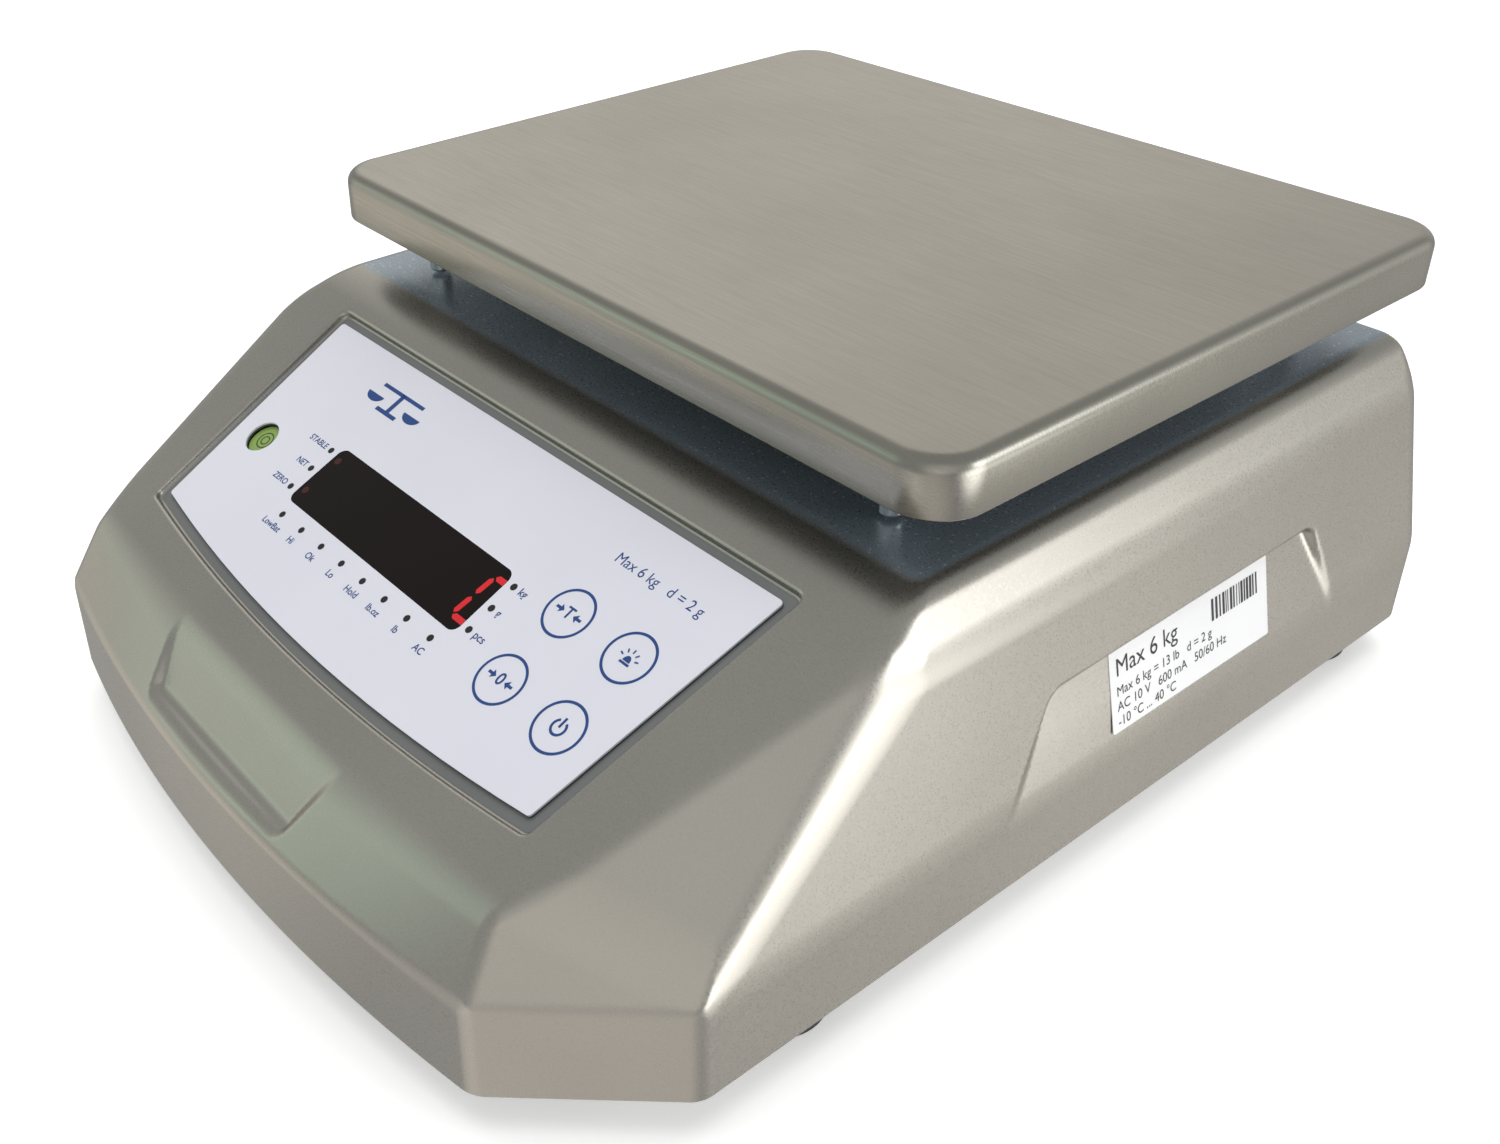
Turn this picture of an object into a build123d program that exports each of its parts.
from build123d import *
import math
import os

# Counter-top weighing scale with a drawn stainless housing, a lift-off pan and a sloping
# display panel. Millimetres. +X is the right-hand side for someone facing the display, +Y
# runs to the back and +Z is up. The origin is on the floor, under the centre of the scale.

# ---- overall sizes ----------------------------------------------------------------------
BODY_WIDTH = 250.0
BODY_DEPTH = 305.0
RIM_Z = 11.0  # open lower edge of the housing, above the floor
SKIRT_TOP_Z = 35.5  # crease between the upright skirt and the sloping walls
DECK_Z = 94.6  # flat top of the housing, under the pan
SHEET = 1.2  # housing and pan sheet thickness

HALF_WIDTH = BODY_WIDTH / 2
FRONT_Y = -BODY_DEPTH / 2
REAR_Y = BODY_DEPTH / 2

# ---- plan of the skirt ------------------------------------------------------------------
CORNER_FRONT_X = 95.0  # where the bowed front meets the cut corner
FRONT_BOW = 9.0
CORNER_REAR_Y = -109.3  # where the cut corner meets the side wall
REAR_CORNER_R = 8.0

# ---- sloping faces of the housing -------------------------------------------------------
PANEL_TILT = 25.0
PANEL_REAR_Y = -43.4  # crease between the display panel and the deck
LIP_LINE_Z = 60.0  # the lip straightens out to a straight line at this height
LIP_LINE_Y = -129.2
LIP_FOOT_DROP = 10.0  # the lip surface starts this far below the skirt crease
LIP_FOOT_CENTRE_Y = -161.9
LIP_FOOT_SIDE_Y = -149.5
SIDE_DRAFT = 0.116  # inward lean of the side walls, per unit of height
REAR_DRAFT = 0.206
BEVEL_OUT_X, BEVEL_OUT_Z = 119.5, 82.7  # lower edge of the long bevel beside the deck
BEVEL_IN_X = 110.8
FACET_AZIMUTH, FACET_RISE, FACET_REACH = 55.0, 37.0, 154.5  # big cut-corner facet
CORNER_LIP_SLOPE = 0.5  # inward lean of the band below that facet
EDGE_BAND_AZIMUTH, EDGE_BAND_RISE, EDGE_BAND_REACH = 82.5, 15.8, 142.6  # starts at the crease

# ---- drawn recesses ---------------------------------------------------------------------
# finger recess in the front lip: its floor runs from the foot ledge up to nothing at the panel
GRIP_FLOOR_FOOT = (-146.0, 38.0)  # (y, z)
GRIP_FLOOR_TOP = (-136.0, 52.0)
GRIP_HALF_TOP, GRIP_HALF_FOOT = 43.0, 32.0
GRIP_FOOT_Z, GRIP_TOP_Z = 38.0, 62.0
LABEL_POCKET = ((-20.0, 35.5), (106.0, 35.5), (93.0, 60.0), (-7.0, 58.8))  # (y, z) outline
LABEL_POCKET_TOP_X = 119.2

# ---- display panel, measured down the slope from the overlay's top edge -------------------
OVERLAY_TOP_Y = -57.1  # where that edge lies on the panel plane
OVERLAY_HALF_TOP, OVERLAY_HALF_FOOT = 89.2, 81.5
OVERLAY_LENGTH, OVERLAY_BOW = 66.6, 6.0
OVERLAY_THICK = 0.5
CIRCUIT_THICK = 0.6
PANEL_RECESS = 2.0
RECESS_BORDER = 3.4
WINDOW_X, WINDOW_V, WINDOW_W, WINDOW_H = -8.0, 38.4, 76.0, 19.4
LEVEL_X, LEVEL_V, LEVEL_R = -73.4, 39.6, 5.0
KEY_R = 6.2
KEY_GAP = 0.1
KEY_PLACES = {
    "tare": (49.9, 28.8),
    "light": (70.7, 28.8),
    "zero": (49.9, 49.3),
    "power": (70.7, 49.3),
}
LAMP_R = 0.8
LAMP_ROW_V = 52.1
LAMP_ROW_X = (-42.4, -32.6, -22.8, -13.0, -3.2, 6.6, 16.4, 26.2)
LAMP_COLUMN_V = (31.4, 38.3, 45.2)
LAMP_COLUMNS_X = (-48.9, 32.6)
DISPLAY_BOARD_DROP = 10.2  # board face below the panel plane
DIGIT_COUNT = 6

# ---- pan and its carrier ----------------------------------------------------------------
PAN_Y = 53.0
PAN_WIDTH, PAN_DEPTH, PAN_TOP_Z, PAN_SKIRT = 230.0, 190.0, 123.0, 13.5
PAN_CORNER_R, PAN_EDGE_R = 13.0, 3.6
ARM_BOTTOM_Z, ARM_TOP_Z = 106.0, 116.0
STOP_X, STOP_Y = 87.5, 77.5  # overload screws, from the pan's centre
PAD_X, PAD_Y, PAD_R = 78.0, 66.0, 7.0
STOP_R, STOP_GAP = 3.0, 0.8
HUB_X, HUB_Y = 36.0, 32.0
SEAL_CLEARANCE = 1.5

# ---- load cell --------------------------------------------------------------------------
CELL_LENGTH, CELL_WIDTH, CELL_HEIGHT = 130.0, 30.0, 22.0
CELL_BOTTOM_Z = 58.0
CELL_BOLT_INSET = (9.0, 24.0)

# ---- floor of the housing ---------------------------------------------------------------
FLOOR_Z, FLOOR_THICK = 13.0, 2.0
SEAL_WIDTH = 2.0
FLOOR_TOP_Z = FLOOR_Z + FLOOR_THICK
TAB_PLACES = ((117.0, -60.0), (117.0, 30.0), (117.0, 112.0))

# ---- levelling feet ---------------------------------------------------------------------
FOOT_X, FOOT_FRONT_Y, FOOT_REAR_Y = 107.5, -73.5, 132.0
FOOT_R, FOOT_PAD_H = 12.0, 6.0
STUD_R, STUD_TOP_Z = 4.0, 36.0

# ---- parts inside -----------------------------------------------------------------------
BATTERY_SIZE = (47.0, 101.0, 70.0)
BATTERY_X, BATTERY_Y = -86.0, 38.0
BOARD_SIZE = (76.0, 110.0, 1.6)
BOARD_X, BOARD_Y, BOARD_Z = 68.0, 10.0, 23.0
JACK_X, JACK_Z, JACK_R = 62.0, 26.0, 6.0
JACK_BORE_R, JACK_BORE_DEPTH = 2.75, 9.0
JACK_FLANGE_R, JACK_FLANGE_THICK = 7.5, 1.5
JACK_POCKET_R, JACK_POCKET_DEPTH = 8.5, 1.7

FAR = 400.0  # longer than the scale, for cutting tools


def unit(azimuth, rise):
    """Outward direction: azimuth from the front (-Y) towards +X, rise above the horizon."""
    a, r = math.radians(azimuth), math.radians(rise)
    return Vector(math.cos(r) * math.sin(a), -math.cos(r) * math.cos(a), math.sin(r))


def trim(shape, point, normal, inset=0.0):
    """Cut away everything outside the plane, after moving the plane inwards by inset."""
    out = Vector(*normal).normalized()
    plane = Plane(origin=Vector(*point) - out * inset, z_dir=out)
    return split(shape, bisect_by=plane, keep=Keep.BOTTOM)


def polygon(points):
    return make_face(Polyline(*points, close=True))


def block(width, depth, height, x, y, bottom):
    return Pos(x, y, bottom) * Box(width, depth, height, align=(Align.CENTER, Align.CENTER, Align.MIN))


def rod(radius, height, x, y, bottom):
    return Pos(x, y, bottom) * Cylinder(radius, height, align=(Align.CENTER, Align.CENTER, Align.MIN))


def hexagon(across_flats, height, x, y, bottom):
    outline = RegularPolygon(across_flats / 2, 6, major_radius=False)
    return Pos(x, y, bottom) * extrude(outline, height)


def group(pieces):
    return Compound(children=list(pieces))


# ---- housing ----------------------------------------------------------------------------
def skirt_outline(inset=0.0):
    """Plan of the skirt: bowed front, cut front corners, rounded rear corners."""
    side_y = FRONT_Y + FRONT_BOW
    front = ThreePointArc((-CORNER_FRONT_X, side_y), (0, FRONT_Y), (CORNER_FRONT_X, side_y))
    right = Polyline(
        (CORNER_FRONT_X, side_y),
        (HALF_WIDTH, CORNER_REAR_Y),
        (HALF_WIDTH, REAR_Y),
        (-HALF_WIDTH, REAR_Y),
        (-HALF_WIDTH, CORNER_REAR_Y),
        (-CORNER_FRONT_X, side_y),
    )
    face = make_face([front, right])
    rear_corners = face.vertices().group_by(Axis.Y)[-1]
    face = fillet(rear_corners, REAR_CORNER_R)
    if inset:
        face = offset(face, amount=-inset, kind=Kind.INTERSECTION)
    return face


def lip_cutter(inset=0.0):
    """Everything in front of the lip: bowed at the skirt, straight where it meets the panel."""
    reach = 1.6 * CORNER_FRONT_X
    centre_y = LIP_FOOT_CENTRE_Y + 1.37 * inset
    side_y = LIP_FOOT_SIDE_Y + 1.17 * inset
    # the circle through the centre and both sides, carried on to the cutter's ends
    sag = side_y - centre_y
    radius = (CORNER_FRONT_X**2 + sag**2) / (2 * sag)
    end_y = centre_y + radius - math.sqrt(radius**2 - reach**2)
    line_y = LIP_LINE_Y + 1.3 * inset
    foot_z = SKIRT_TOP_Z - LIP_FOOT_DROP
    foot = Wire(
        [
            ThreePointArc((-reach, end_y, foot_z), (0, centre_y, foot_z), (reach, end_y, foot_z)).edge(),
            Edge.make_line((reach, end_y, foot_z), (reach, -FAR, foot_z)),
            Edge.make_line((reach, -FAR, foot_z), (-reach, -FAR, foot_z)),
            Edge.make_line((-reach, -FAR, foot_z), (-reach, end_y, foot_z)),
        ]
    )
    top = Wire.make_polygon(
        [
            (-reach, line_y, LIP_LINE_Z),
            (reach, line_y, LIP_LINE_Z),
            (reach, -FAR, LIP_LINE_Z),
            (-reach, -FAR, LIP_LINE_Z),
        ],
        close=True,
    )
    return Solid.make_loft([foot, top], ruled=True)


def grip_cutter(grow=0.0):
    """Finger recess with a level ledge along its foot, fading out where the panel starts."""
    foot_z = GRIP_FOOT_Z - grow
    outline = polygon(
        [
            (-GRIP_HALF_FOOT - grow, foot_z),
            (GRIP_HALF_FOOT + grow, foot_z),
            (GRIP_HALF_TOP + grow, GRIP_TOP_Z),
            (-GRIP_HALF_TOP - grow, GRIP_TOP_Z),
        ]
    )
    pocket = extrude(Plane.XZ * outline, FAR, both=True)
    (foot_y, foot_floor_z), (top_y, top_floor_z) = GRIP_FLOOR_FOOT, GRIP_FLOOR_TOP
    outward = Vector(0, foot_floor_z - top_floor_z, top_y - foot_y).normalized()
    floor = Plane(origin=Vector(0, foot_y, foot_floor_z) - outward * grow, z_dir=outward)
    return split(pocket, bisect_by=floor, keep=Keep.TOP)


def label_pocket_cutter(side, grow=0.0):
    """Shallow side pocket for the rating label: deepest along its top, nothing at its foot."""
    (y1, z1), (y2, z2), (y3, z3), (y4, z4) = LABEL_POCKET
    outline = polygon(
        [(y1 - grow, z1), (y2 + grow, z2), (y3 + grow, z3 + grow), (y4 - grow, z4 + grow)]
    )
    slab = extrude(Plane.YZ * outline, FAR, both=True)
    rise = z3 - z1
    run = HALF_WIDTH - LABEL_POCKET_TOP_X
    face = Plane(
        origin=(side * (HALF_WIDTH - grow), 0, z1), z_dir=(side * rise, 0, run)
    )
    return split(slab, bisect_by=face, keep=Keep.TOP)


PANEL_SLOPE = math.tan(math.radians(PANEL_TILT))
PANEL_ORIGIN = (0, OVERLAY_TOP_Y, DECK_Z + (OVERLAY_TOP_Y - PANEL_REAR_Y) * PANEL_SLOPE)
PANEL_NORMAL = unit(0, 90 - PANEL_TILT)
PANEL = Plane(origin=PANEL_ORIGIN, x_dir=(1, 0, 0), z_dir=PANEL_NORMAL)


def panel_sketch(grow=0.0):
    """Outline of the overlay on the panel: straight top, narrowing sides, bowed foot."""
    top, foot = OVERLAY_HALF_TOP + grow, OVERLAY_HALF_FOOT + grow
    up, down = grow, OVERLAY_LENGTH + grow
    bow = ThreePointArc((foot, -down), (0, -down - OVERLAY_BOW), (-foot, -down))
    sides = Polyline((-foot, -down), (-top, up), (top, up), (foot, -down))
    face = make_face([bow, sides])
    return fillet(face.vertices(), 1.0 + grow / 2)


def on_panel(sketch, low, high):
    """Raise a sketch in the panel's plane between two heights measured from that plane."""
    return PANEL * (Pos(0, 0, low) * extrude(sketch, high - low))


def jack_pocket_cutter(grow=0.0):
    """Round drawn pocket in the rear skirt that the power socket's flange sits in."""
    pocket = Cylinder(JACK_POCKET_R + grow, 2 * (JACK_POCKET_DEPTH + grow))
    return Pos(JACK_X, REAR_Y, JACK_Z) * Rot(90, 0, 0) * pocket


def drafted_walls(inset=0.0):
    """Leaning side and rear walls with rounded corners between them, from the rim to the deck."""
    sections = []
    for z in (RIM_Z, DECK_Z):
        above = z - SKIRT_TOP_Z
        half_width = HALF_WIDTH - SIDE_DRAFT * above - inset * math.hypot(1, SIDE_DRAFT)
        rear_y = REAR_Y - REAR_DRAFT * above - inset * math.hypot(1, REAR_DRAFT)
        depth = rear_y - 2 * FRONT_Y
        outline = RectangleRounded(2 * half_width, depth, REAR_CORNER_R - inset)
        sections.append(Pos(0, rear_y - depth / 2, z) * outline)
    return loft(sections, ruled=True)


def housing_form(inset=0.0):
    """The housing as a solid, with every face moved inwards by inset."""
    form = Pos(0, 0, RIM_Z) * extrude(skirt_outline(inset), DECK_Z - inset - RIM_Z)
    panel_point = (0, PANEL_REAR_Y, DECK_Z)
    form = trim(form, panel_point, PANEL_NORMAL, inset)
    form = form & drafted_walls(inset)
    for side in (-1, 1):
        rise, run = DECK_Z - BEVEL_OUT_Z, BEVEL_OUT_X - BEVEL_IN_X
        form = trim(form, (side * BEVEL_OUT_X, 0, BEVEL_OUT_Z), (side * rise, 0, run), inset)
        corner = (side * CORNER_FRONT_X, FRONT_Y + FRONT_BOW, SKIRT_TOP_Z)
        along_x = HALF_WIDTH - CORNER_FRONT_X
        along_y = CORNER_REAR_Y - corner[1]
        length = math.hypot(along_x, along_y)
        outward = (side * along_y, -along_x, CORNER_LIP_SLOPE * length)
        form = trim(form, corner, outward, inset)
        for azimuth, tilt, reach in (
            (FACET_AZIMUTH, FACET_RISE, FACET_REACH),
            (EDGE_BAND_AZIMUTH, EDGE_BAND_RISE, EDGE_BAND_REACH),
        ):
            direction = unit(side * azimuth, tilt)
            form = trim(form, direction * reach, direction, inset)
    form = form - lip_cutter(inset)
    # the trims above lean over the skirt, so the skirt's own upright wall is put back below
    skirt = Pos(0, 0, RIM_Z) * extrude(skirt_outline(inset), SKIRT_TOP_Z - RIM_Z - 0.2 * inset)
    return form + skirt


def top_housing():
    outer = housing_form() - grip_cutter()
    outer = outer - on_panel(panel_sketch(RECESS_BORDER), -PANEL_RECESS, 5)
    inner = housing_form(SHEET) - grip_cutter(SHEET)
    inner = inner - on_panel(panel_sketch(RECESS_BORDER + SHEET), -PANEL_RECESS - SHEET, 5)
    for side in (-1, 1):
        outer = outer - label_pocket_cutter(side)
        inner = inner - label_pocket_cutter(side, SHEET)
    outer = outer - jack_pocket_cutter()
    inner = inner - jack_pocket_cutter(SHEET)
    shell = outer - inner
    for cut in housing_openings():
        shell = shell - cut
    return shell


def housing_openings():
    window = Pos(WINDOW_X, -WINDOW_V) * RectangleRounded(WINDOW_W + 1, WINDOW_H + 1, 2)
    cuts = [on_panel(window, -8, 2)]
    cuts.append(on_panel(Pos(LEVEL_X, -LEVEL_V) * Circle(LEVEL_R + 1), -8, 2))
    row_centre = (LAMP_ROW_X[0] + LAMP_ROW_X[-1]) / 2
    row_length = LAMP_ROW_X[-1] - LAMP_ROW_X[0] + 3
    cuts.append(on_panel(Pos(row_centre, -LAMP_ROW_V) * RectangleRounded(row_length, 2.4, 1.1), -8, 2))
    for x in LAMP_COLUMNS_X:
        slot = Pos(x, -LAMP_COLUMN_V[1]) * RectangleRounded(2.4, 17, 1.1)
        cuts.append(on_panel(slot, -8, 2))
    cuts.append(block(HUB_X + 8, HUB_Y + 8, 20, 0, hub_y(), DECK_Z - 10))
    cuts.append(Pos(JACK_X, REAR_Y, JACK_Z) * Rot(90, 0, 0) * Cylinder(JACK_R, 8))
    return cuts


# ---- floor ------------------------------------------------------------------------------
def foot_places():
    return {
        "front_left": (-FOOT_X, FOOT_FRONT_Y),
        "front_right": (FOOT_X, FOOT_FRONT_Y),
        "rear_left": (-FOOT_X, FOOT_REAR_Y),
        "rear_right": (FOOT_X, FOOT_REAR_Y),
    }


def tab_places():
    return [(side * x, y) for side in (-1, 1) for x, y in TAB_PLACES]


def cell_bolt_ys():
    """Bolt places along the load cell: two through the fixed end, two through the free end."""
    front = PAN_Y - CELL_LENGTH / 2
    fixed = [front + d for d in CELL_BOLT_INSET]
    free = [front + CELL_LENGTH - d for d in CELL_BOLT_INSET]
    return fixed, free


def hub_y():
    return sum(cell_bolt_ys()[1]) / 2


def base_plate():
    plate = Pos(0, 0, FLOOR_Z) * extrude(skirt_outline(SHEET + SEAL_WIDTH), FLOOR_THICK)
    for x, y in foot_places().values():
        plate = plate - rod(STUD_R + 2, 10, x, y, FLOOR_Z - 4)
    for x, y in tab_places():
        plate = plate - rod(2.0, 10, x, y, FLOOR_Z - 4)
    for y in cell_bolt_ys()[0]:
        plate = plate - rod(3.0, 10, 0, y, FLOOR_Z - 4)
    return plate


def base_gasket():
    ring = skirt_outline(SHEET) - skirt_outline(SHEET + SEAL_WIDTH)
    return Pos(0, 0, FLOOR_Z - 0.5) * extrude(ring, FLOOR_THICK + 1)


def housing_tabs():
    tabs = []
    for x, y in tab_places():
        side = 1 if x > 0 else -1
        outer_x = HALF_WIDTH - SHEET
        width = outer_x - 112
        tab = block(width, 10, 14, side * (outer_x - width / 2), y, FLOOR_TOP_Z + 0.5)
        tab = tab + block(9, 10, 0.5, side * 116.5, y, FLOOR_TOP_Z)
        tabs.append(tab - rod(2.0, 30, x, y, FLOOR_Z))
    return group(tabs)


def pan_head_screw(shank_r, length, x, y, seat_z, head_r, head_h):
    """A screw driven upwards from below: its head hangs under seat_z."""
    head = rod(head_r, head_h, x, y, seat_z - head_h)
    head = fillet(head.edges().group_by(Axis.Z)[0], head_h * 0.4)
    head = head - block(head_r * 1.2, 0.9, 0.9, x, y, seat_z - head_h)
    head = head - block(0.9, head_r * 1.2, 0.9, x, y, seat_z - head_h)
    return head + rod(shank_r, length, x, y, seat_z)


def base_screws():
    return group(pan_head_screw(2.0, 12, x, y, FLOOR_Z, 3.8, 2.0) for x, y in tab_places())


# ---- levelling feet ---------------------------------------------------------------------
def foot_bushes():
    bushes = []
    for x, y in foot_places().values():
        bush = rod(STUD_R + 5, 7, x, y, FLOOR_TOP_Z) + rod(STUD_R + 2, FLOOR_THICK, x, y, FLOOR_Z)
        bushes.append(bush - rod(STUD_R + 0.05, 20, x, y, FLOOR_Z - 4))
    return group(bushes)


def foot_pad(x, y):
    pad = rod(FOOT_R, FOOT_PAD_H, x, y, 0)
    pad = fillet(pad.edges().group_by(Axis.Z)[-1], 1.5)
    pad = chamfer(pad.edges().group_by(Axis.Z)[0], 0.6)
    return pad - rod(STUD_R + 0.05, 4, x, y, FOOT_PAD_H - 3)


def foot_stud(x, y):
    stud = rod(STUD_R, STUD_TOP_Z - FOOT_PAD_H + 3, x, y, FOOT_PAD_H - 3)
    stud = chamfer(stud.edges().group_by(Axis.Z)[-1], 0.8)
    return stud + hexagon(13, 4, x, y, FOOT_PAD_H + 0.2)


# ---- load cell and pan carrier ----------------------------------------------------------
def pedestal():
    fixed, _ = cell_bolt_ys()
    middle = sum(fixed) / 2
    body = block(34, 36, CELL_BOTTOM_Z - FLOOR_TOP_Z, 0, middle, FLOOR_TOP_Z)
    flange = block(56, 48, 5, 0, middle, FLOOR_TOP_Z)
    foot = body + flange
    for y in fixed:
        foot = foot - rod(3.0, CELL_BOTTOM_Z, 0, y, FLOOR_Z)
    return foot


def load_cell():
    """Single-point cell: an aluminium beam with two joined round holes through its middle."""
    beam = block(CELL_WIDTH, CELL_LENGTH, CELL_HEIGHT, 0, PAN_Y, CELL_BOTTOM_Z)
    middle_z = CELL_BOTTOM_Z + CELL_HEIGHT / 2
    for shift in (-14, 14):
        beam = beam - Pos(0, PAN_Y + shift, middle_z) * Rot(0, 90, 0) * Cylinder(9.2, CELL_WIDTH + 2)
    beam = beam - block(CELL_WIDTH + 2, 28, 8, 0, PAN_Y, middle_z - 4)
    fixed, free = cell_bolt_ys()
    for y in fixed:
        beam = beam - rod(3.0, 17, 0, y, CELL_BOTTOM_Z - 1)
    for y in free:
        beam = beam - rod(3.2, 17, 0, y, CELL_BOTTOM_Z + CELL_HEIGHT - 16)
    return beam


def cell_base_bolts():
    length = CELL_BOTTOM_Z + 15 - FLOOR_Z
    bolts = []
    for y in cell_bolt_ys()[0]:
        bolt = rod(3.0, length, 0, y, FLOOR_Z) + rod(5.0, 2.6, 0, y, FLOOR_Z - 2.6)
        bolts.append(bolt - hexagon(3.5, 1.4, 0, y, FLOOR_Z - 2.6))
    return group(bolts)


def arm(x, y):
    """One straight arm of the carrier, from its hub out to a corner boss."""
    dx, dy = x, y - hub_y()
    length = math.hypot(dx, dy)
    angle = math.degrees(math.atan2(dy, dx))
    height = ARM_TOP_Z - ARM_BOTTOM_Z
    bar = block(length, 16, height, length / 2, 0, 0)
    return Pos(0, hub_y(), ARM_BOTTOM_Z) * Rot(0, 0, angle) * bar


def corner_places(x, y):
    return [(sx * x, PAN_Y + sy * y) for sx in (-1, 1) for sy in (-1, 1)]


def spider():
    """Cast cross that carries the pan, with a hub that reaches down to the load cell."""
    height = ARM_TOP_Z - ARM_BOTTOM_Z
    casting = block(HUB_X, HUB_Y, ARM_TOP_Z - CELL_BOTTOM_Z - CELL_HEIGHT, 0, hub_y(), CELL_BOTTOM_Z + CELL_HEIGHT)
    casting = casting + block(70, 50, height, 0, hub_y(), ARM_BOTTOM_Z)
    for (px, py), (sx, sy) in zip(corner_places(PAD_X, PAD_Y), corner_places(STOP_X, STOP_Y)):
        casting = casting + arm(px, py)
        casting = casting + rod(PAD_R + 1.5, height, px, py, ARM_BOTTOM_Z)
        casting = casting + rod(PAD_R, height, sx, sy, ARM_BOTTOM_Z)
        casting = casting - rod(2.5, height + 2, sx, sy, ARM_BOTTOM_Z - 1)
    for y in cell_bolt_ys()[1]:
        casting = casting - rod(3.0, 60, 0, y, CELL_BOTTOM_Z + CELL_HEIGHT - 1)
        casting = casting - rod(5.2, 7, 0, y, ARM_TOP_Z - 7)
    return casting


def hub_bolts():
    seat = ARM_TOP_Z - 7
    bottom = CELL_BOTTOM_Z + CELL_HEIGHT - 14
    bolts = []
    for y in cell_bolt_ys()[1]:
        bolt = rod(3.0, seat - bottom, 0, y, bottom) + rod(5.0, 6, 0, y, seat)
        bolts.append(bolt - hexagon(5, 3, 0, y, seat + 3.1))
    return group(bolts)


def stop_screws():
    """Overload screws: a round head just above the deck, cross-drilled for a turning pin."""
    bottom = DECK_Z + STOP_GAP
    screws = []
    for x, y in corner_places(STOP_X, STOP_Y):
        head = rod(STOP_R, ARM_BOTTOM_Z - 1 - bottom, x, y, bottom)
        head = fillet(head.edges().group_by(Axis.Z)[0], 0.8)
        for turn in (45, 135):
            head = head - Pos(x, y, bottom + 5.5) * Rot(0, 0, turn) * Rot(0, 90, 0) * Cylinder(0.9, 8)
        shank = rod(2.5, ARM_TOP_Z + 4.5 - (ARM_BOTTOM_Z - 1), x, y, ARM_BOTTOM_Z - 1)
        screws.append(head + shank)
    return group(screws)


def stop_locknuts():
    nuts = []
    for x, y in corner_places(STOP_X, STOP_Y):
        nuts.append(hexagon(8, 3, x, y, ARM_TOP_Z) - rod(2.5, 5, x, y, ARM_TOP_Z - 1))
    return group(nuts)


def pan_pads():
    height = PAN_TOP_Z - SHEET - ARM_TOP_Z
    pads = []
    for x, y in corner_places(PAD_X, PAD_Y):
        pad = rod(PAD_R, height, x, y, ARM_TOP_Z)
        pads.append(chamfer(pad.edges().group_by(Axis.Z)[-1], 1.0))
    return group(pads)


def deck_seal():
    """Rubber collar on the deck, round the opening that the carrier's hub passes through."""
    outer = extrude(RectangleRounded(HUB_X + 20, HUB_Y + 20, 8), 1.6)
    lip = extrude(RectangleRounded(HUB_X + 10, HUB_Y + 10, 4), 5)
    hole = extrude(Rectangle(HUB_X + 2 * SEAL_CLEARANCE, HUB_Y + 2 * SEAL_CLEARANCE), 6)
    return Pos(0, hub_y(), DECK_Z) * (outer + lip - hole)


def pan():
    outline = RectangleRounded(PAN_WIDTH, PAN_DEPTH, PAN_CORNER_R)
    tray = extrude(outline, PAN_SKIRT)
    tray = fillet(tray.edges().group_by(Axis.Z)[-1], PAN_EDGE_R)
    hollow = RectangleRounded(PAN_WIDTH - 2 * SHEET, PAN_DEPTH - 2 * SHEET, PAN_CORNER_R - SHEET)
    inside = extrude(hollow, PAN_SKIRT - SHEET)
    inside = fillet(inside.edges().group_by(Axis.Z)[-1], PAN_EDGE_R - SHEET)
    return Pos(0, PAN_Y, PAN_TOP_Z - PAN_SKIRT) * (tray - inside)


# ---- display panel ----------------------------------------------------------------------
LAMINATE_FLOOR = -PANEL_RECESS
CIRCUIT_TOP = LAMINATE_FLOOR + CIRCUIT_THICK
OVERLAY_TOP = CIRCUIT_TOP + OVERLAY_THICK


def window_sketch(grow=0.0):
    return Pos(WINDOW_X, -WINDOW_V) * RectangleRounded(WINDOW_W + 2 * grow, WINDOW_H + 2 * grow, 2.5 + grow)


def lamp_places():
    columns = [(x, v) for x in LAMP_COLUMNS_X for v in LAMP_COLUMN_V]
    return columns + [(x, LAMP_ROW_V) for x in LAMP_ROW_X]


def overlay():
    """Printed polyester sheet, open over the window, the level and the four keys."""
    face = panel_sketch() - window_sketch() - Pos(LEVEL_X, -LEVEL_V) * Circle(LEVEL_R)
    for x, v in KEY_PLACES.values():
        face = face - Pos(x, -v) * Circle(KEY_R + KEY_GAP)
    return on_panel(face, CIRCUIT_TOP, OVERLAY_TOP)


def keypad_circuit():
    face = panel_sketch() - window_sketch() - Pos(LEVEL_X, -LEVEL_V) * Circle(LEVEL_R)
    for x, v in KEY_PLACES.values():
        face = face - Pos(x, -v) * Circle(KEY_R + 0.4)
    for x, v in lamp_places():
        face = face - Pos(x, -v) * Circle(LAMP_R)
    return on_panel(face, LAMINATE_FLOOR, CIRCUIT_TOP)


def window_lens():
    return on_panel(window_sketch(), LAMINATE_FLOOR, OVERLAY_TOP)


def key(name):
    x, v = KEY_PLACES[name]
    return on_panel(Pos(x, -v) * Circle(KEY_R), CIRCUIT_TOP, OVERLAY_TOP)


def key_domes():
    """Snap domes: shallow spherical caps under the keys."""
    base_r, height = 4.0, 0.3
    ball_r = (base_r**2 + height**2) / (2 * height)
    domes = []
    for x, v in KEY_PLACES.values():
        cap = Pos(0, 0, height - ball_r) * Sphere(ball_r)
        cap = cap & (Pos(0, 0, height / 2) * Box(2 * base_r + 1, 2 * base_r + 1, height))
        domes.append(PANEL * (Pos(x, -v, LAMINATE_FLOOR) * cap))
    return group(domes)


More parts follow.
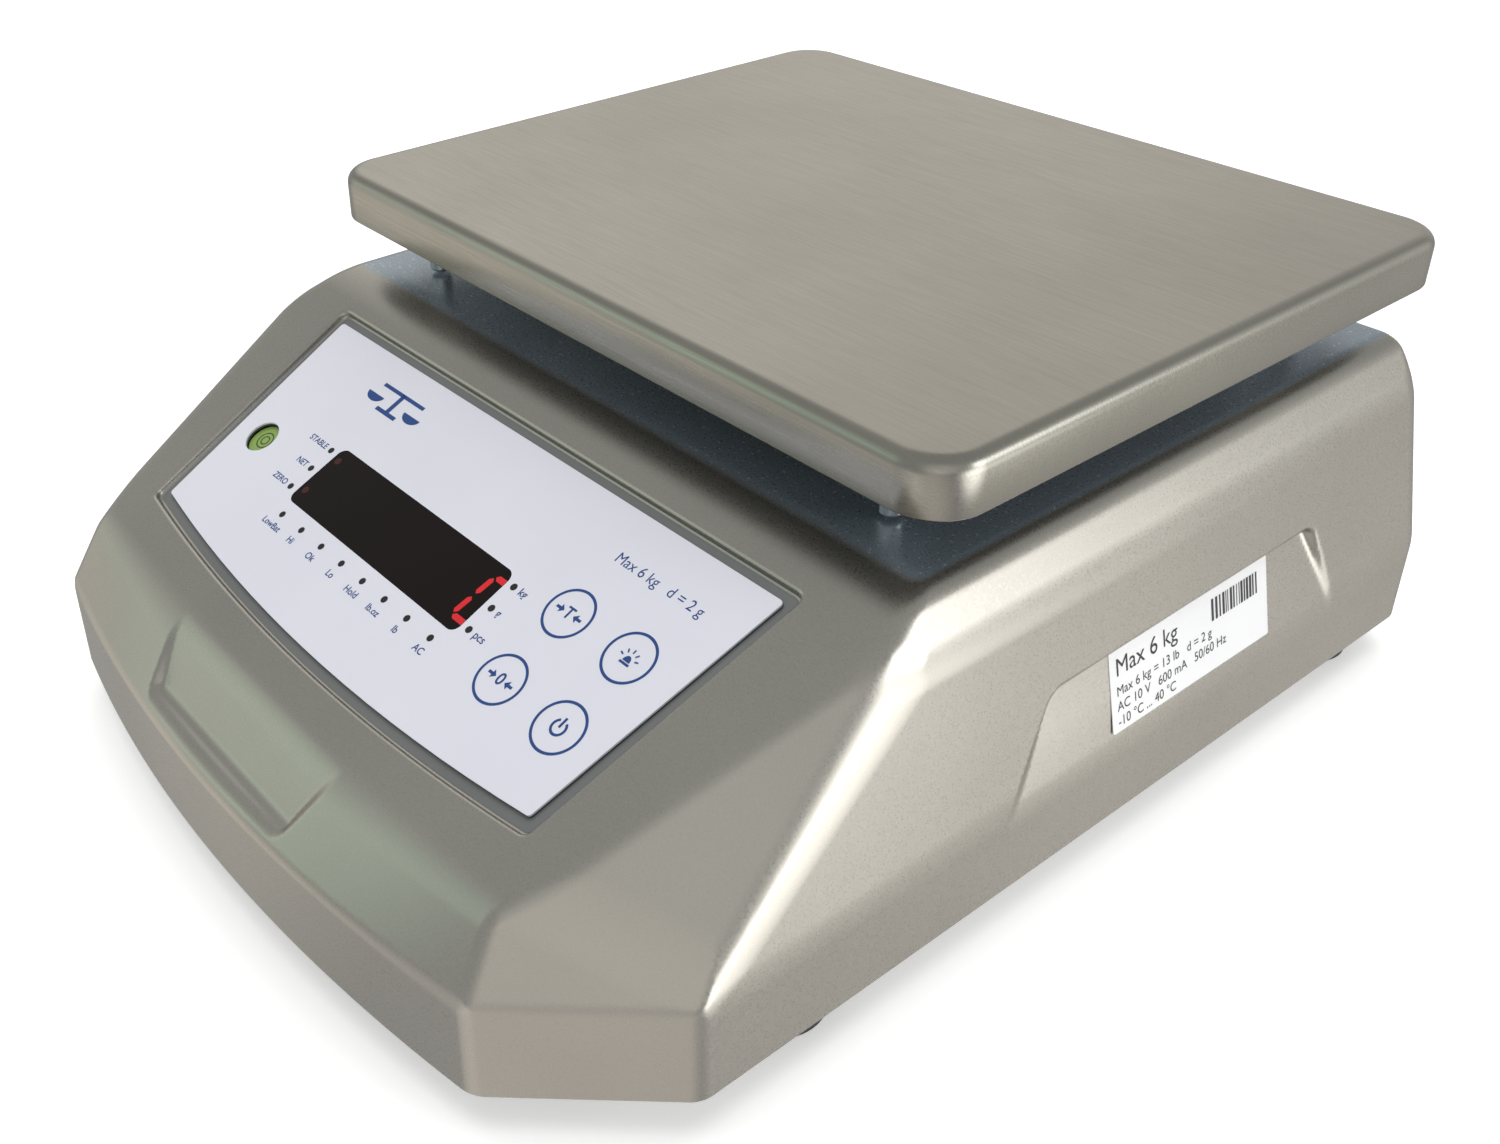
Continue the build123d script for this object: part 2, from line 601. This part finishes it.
def display_board():
    board = Pos(-8, -40) * Rectangle(100, 44)
    top = -DISPLAY_BOARD_DROP
    plate = on_panel(board, top - 1.6, top)
    for x, v in display_screw_places():
        plate = plate - on_panel(Pos(x, -v) * Circle(1.25), top - 3, top + 1)
    return plate


def display_screw_places():
    return [(-8 + sx * 46, 40 + sv * 19) for sx in (-1, 1) for sv in (-1, 1)]


def display_pillars():
    """Studs welded behind the panel that the display board hangs from."""
    top, bottom = -PANEL_RECESS - SHEET, -DISPLAY_BOARD_DROP
    pillars = []
    for x, v in display_screw_places():
        pillar = on_panel(Pos(x, -v) * Circle(2.6), bottom, top)
        pillars.append(pillar - on_panel(Pos(x, -v) * Circle(1.25), bottom - 1, bottom + 5))
    return group(pillars)


def display_screws():
    seat = -DISPLAY_BOARD_DROP - 1.6
    screws = []
    for x, v in display_screw_places():
        shank = on_panel(Pos(x, -v) * Circle(1.25), seat, seat + 6)
        head = on_panel(Pos(x, -v) * Circle(2.4), seat - 1.8, seat)
        screws.append(shank + head)
    return group(screws)


def led_digits():
    pitch = WINDOW_W / DIGIT_COUNT
    low, high = -DISPLAY_BOARD_DROP, LAMINATE_FLOOR - 0.1
    digits = []
    for i in range(DIGIT_COUNT):
        x = WINDOW_X + (i - (DIGIT_COUNT - 1) / 2) * pitch
        digits.append(on_panel(Pos(x, -WINDOW_V) * Rectangle(pitch - 0.2, WINDOW_H - 1), low, high))
    return group(digits)


def status_lamps():
    low, high = -DISPLAY_BOARD_DROP, CIRCUIT_TOP
    lamps = []
    for x, v in lamp_places():
        lamps.append(on_panel(Pos(x, -v) * Circle(LAMP_R - 0.1), low, high))
    return group(lamps)


def level_centre():
    point = PANEL * Pos(LEVEL_X, -LEVEL_V, 0)
    return point.position


LEVEL_CUP_R = 8.0
LEVEL_VIAL_R = 6.6
LEVEL_PLUG_FLOOR, LEVEL_PLUG_TOP = -9.0, -1.5  # heights from the panel plane


def level_cup():
    """Cup that holds the round level upright under its tilted hole."""
    centre = level_centre()
    top = centre.Z - 8.0
    cup = rod(LEVEL_CUP_R, 9, centre.X, centre.Y, top - 9) - rod(LEVEL_VIAL_R, 8, centre.X, centre.Y, top - 7)
    ear = block(26, 8, 2, centre.X, centre.Y, top - 9)
    ear = ear - rod(LEVEL_VIAL_R, 8, centre.X, centre.Y, top - 7)
    return cup + ear


def level_vial():
    """Round vial with a clear plug that fills the hole in the panel, flush below the film."""
    centre = level_centre()
    top = centre.Z - 8.0
    vial = rod(LEVEL_VIAL_R, 7.5, centre.X, centre.Y, top - 7)
    vial = fillet(vial.edges().group_by(Axis.Z)[-1], 0.8)
    plug = on_panel(Pos(LEVEL_X, -LEVEL_V) * Circle(LEVEL_R - 0.1), LEVEL_PLUG_FLOOR, LEVEL_PLUG_TOP)
    return vial + plug


def level_posts():
    """Two welded posts that hang the level cup from the panel."""
    centre = level_centre()
    posts = []
    for side in (-1, 1):
        x = centre.X + side * 10.5
        post = rod(2.0, 40, x, centre.Y, centre.Z - 15)
        lid = PANEL * (Pos(0, 0, -PANEL_RECESS - SHEET + 50) * Box(400, 400, 100))
        posts.append(post - lid)
    return group(posts)


# ---- electronics ------------------------------------------------------------------------
def battery():
    case = block(*BATTERY_SIZE, BATTERY_X, BATTERY_Y, FLOOR_TOP_Z)
    case = fillet(case.edges().filter_by(Axis.Z), 2.5)
    for dy in (-30, 30):
        terminal = block(6.4, 0.8, 6, BATTERY_X, BATTERY_Y + dy, FLOOR_TOP_Z + BATTERY_SIZE[2])
        case = case + terminal
    return case


def battery_bracket():
    """Sheet strap over the battery, with a foot at each side."""
    width, _, height = BATTERY_SIZE
    gap, sheet = 0.3, 1.2
    top = FLOOR_TOP_Z + height + gap
    outer = block(width + 2 * (gap + sheet), 16, height + gap + sheet, BATTERY_X, BATTERY_Y, FLOOR_TOP_Z)
    inner = block(width + 2 * gap, 18, height + gap, BATTERY_X, BATTERY_Y, FLOOR_TOP_Z)
    foot_x = BATTERY_X + width / 2 + gap + sheet + 4.5
    foot = block(9, 16, sheet, foot_x, BATTERY_Y, FLOOR_TOP_Z)
    strap = outer - inner + foot
    return strap - rod(1.5, top, foot_x, BATTERY_Y, FLOOR_TOP_Z - 1)


def bracket_screw():
    width = BATTERY_SIZE[0]
    x = BATTERY_X + width / 2 + 0.3 + 1.2 + 4.5
    seat = FLOOR_TOP_Z + 1.2
    return rod(1.5, 1.2, x, BATTERY_Y, seat - 1.2) + rod(2.8, 1.8, x, BATTERY_Y, seat)


def board_screw_places():
    half_x, half_y = BOARD_SIZE[0] / 2 - 4, BOARD_SIZE[1] / 2 - 4
    return [(BOARD_X + sx * half_x, BOARD_Y + sy * half_y) for sx in (-1, 1) for sy in (-1, 1)]


def main_board():
    board = block(*BOARD_SIZE, BOARD_X, BOARD_Y, BOARD_Z)
    for x, y in board_screw_places():
        board = board - rod(1.5, 5, x, y, BOARD_Z - 1)
    return board


def board_pillars():
    pillars = []
    for x, y in board_screw_places():
        pillar = hexagon(5.5, BOARD_Z - FLOOR_TOP_Z, x, y, FLOOR_TOP_Z)
        pillars.append(pillar - rod(1.5, 5, x, y, BOARD_Z - 5))
    return group(pillars)


def board_screws():
    top = BOARD_Z + BOARD_SIZE[2]
    screws = []
    for x, y in board_screw_places():
        screws.append(rod(1.5, 5.6, x, y, top - 5.6) + rod(2.8, 1.8, x, y, top))
    return group(screws)


def board_parts():
    """Regulator capacitors, processor, converter chip and connectors on the main board."""
    top = BOARD_Z + BOARD_SIZE[2]
    parts = [rod(r, h, BOARD_X + dx, BOARD_Y + dy, top) for r, h, dx, dy in (
        (6.5, 21, 24, 38),
        (5.0, 16, 24, 22),
        (4.0, 11, 10, 40),
    )]
    parts += [block(w, d, h, BOARD_X + dx, BOARD_Y + dy, top) for w, d, h, dx, dy in (
        (14, 14, 1.8, -6, -2),
        (8, 12, 2.2, -20, -30),
        (22, 7, 8, 4, -46),
        (16, 7, 8, -22, 44),
        (7, 18, 9, 30, -8),
    )]
    return group(parts)


def buzzer():
    top = BOARD_Z + BOARD_SIZE[2]
    x, y = BOARD_X + 24, BOARD_Y - 34
    return rod(6.0, 8.5, x, y, top) - rod(1.0, 3, x, y, top + 6.5)


def upright_rod(radius, length, start=0.0):
    return Pos(0, 0, start) * Cylinder(radius, length, align=(Align.CENTER, Align.CENTER, Align.MIN))


def behind_rear_wall(shape, depth):
    """Place a shape built along +Z so that it points out of the rear skirt from a depth inside."""
    return Pos(JACK_X, REAR_Y - depth, JACK_Z) * Rot(-90, 0, 0) * shape


def power_jack():
    """Threaded panel socket in its pocket in the rear skirt, with a flange outside."""
    seat = 14.0
    face = seat + JACK_FLANGE_THICK
    socket = upright_rod(JACK_R, face) + upright_rod(JACK_FLANGE_R, JACK_FLANGE_THICK, seat)
    socket = socket - upright_rod(JACK_BORE_R, JACK_BORE_DEPTH, face - JACK_BORE_DEPTH)
    return behind_rear_wall(socket, JACK_POCKET_DEPTH + seat)


def jack_nut():
    thick = 3.0
    nut = extrude(RegularPolygon(JACK_FLANGE_R, 6, major_radius=False), thick)
    nut = nut - upright_rod(JACK_R, thick)
    return behind_rear_wall(nut, JACK_POCKET_DEPTH + SHEET + thick)


def rating_label():
    """Thin printed label on the floor of the right-hand side pocket."""
    z1, z3 = LABEL_POCKET[0][1], LABEL_POCKET[2][1]
    face = Plane(
        origin=(HALF_WIDTH, 46.0, z1), x_dir=(0, 1, 0), z_dir=(z3 - z1, 0, HALF_WIDTH - LABEL_POCKET_TOP_X)
    )
    return face * (Pos(0, 12.6) * extrude(RectangleRounded(62, 22, 0.6), 0.2))


# ---- write every node -------------------------------------------------------------------
def parts():
    nodes = {
        "top_housing": top_housing(),
        "base_plate": base_plate(),
        "base_gasket": base_gasket(),
        "housing_tabs": housing_tabs(),
        "base_screws": base_screws(),
        "foot_bushes": foot_bushes(),
        "pedestal": pedestal(),
        "load_cell": load_cell(),
        "cell_base_bolts": cell_base_bolts(),
        "spider": spider(),
        "hub_bolts": hub_bolts(),
        "stop_screws": stop_screws(),
        "stop_locknuts": stop_locknuts(),
        "pan_pads": pan_pads(),
        "deck_seal": deck_seal(),
        "pan": pan(),
        "overlay": overlay(),
        "keypad_circuit": keypad_circuit(),
        "key_domes": key_domes(),
        "window_lens": window_lens(),
        "display_board": display_board(),
        "display_pillars": display_pillars(),
        "display_screws": display_screws(),
        "led_digits": led_digits(),
        "status_lamps": status_lamps(),
        "level_cup": level_cup(),
        "level_vial": level_vial(),
        "level_posts": level_posts(),
        "battery": battery(),
        "battery_bracket": battery_bracket(),
        "bracket_screw": bracket_screw(),
        "main_board": main_board(),
        "board_pillars": board_pillars(),
        "board_screws": board_screws(),
        "board_parts": board_parts(),
        "buzzer": buzzer(),
        "power_jack": power_jack(),
        "jack_nut": jack_nut(),
        "rating_label": rating_label(),
    }
    for name in KEY_PLACES:
        nodes[f"{name}_key"] = key(name)
    for name, (x, y) in foot_places().items():
        nodes[f"foot_pad_{name}"] = foot_pad(x, y)
        nodes[f"foot_stud_{name}"] = foot_stud(x, y)
    return nodes


os.makedirs("parts", exist_ok=True)
for node, shape in parts().items():
    export_step(shape, f"parts/{node}.step")
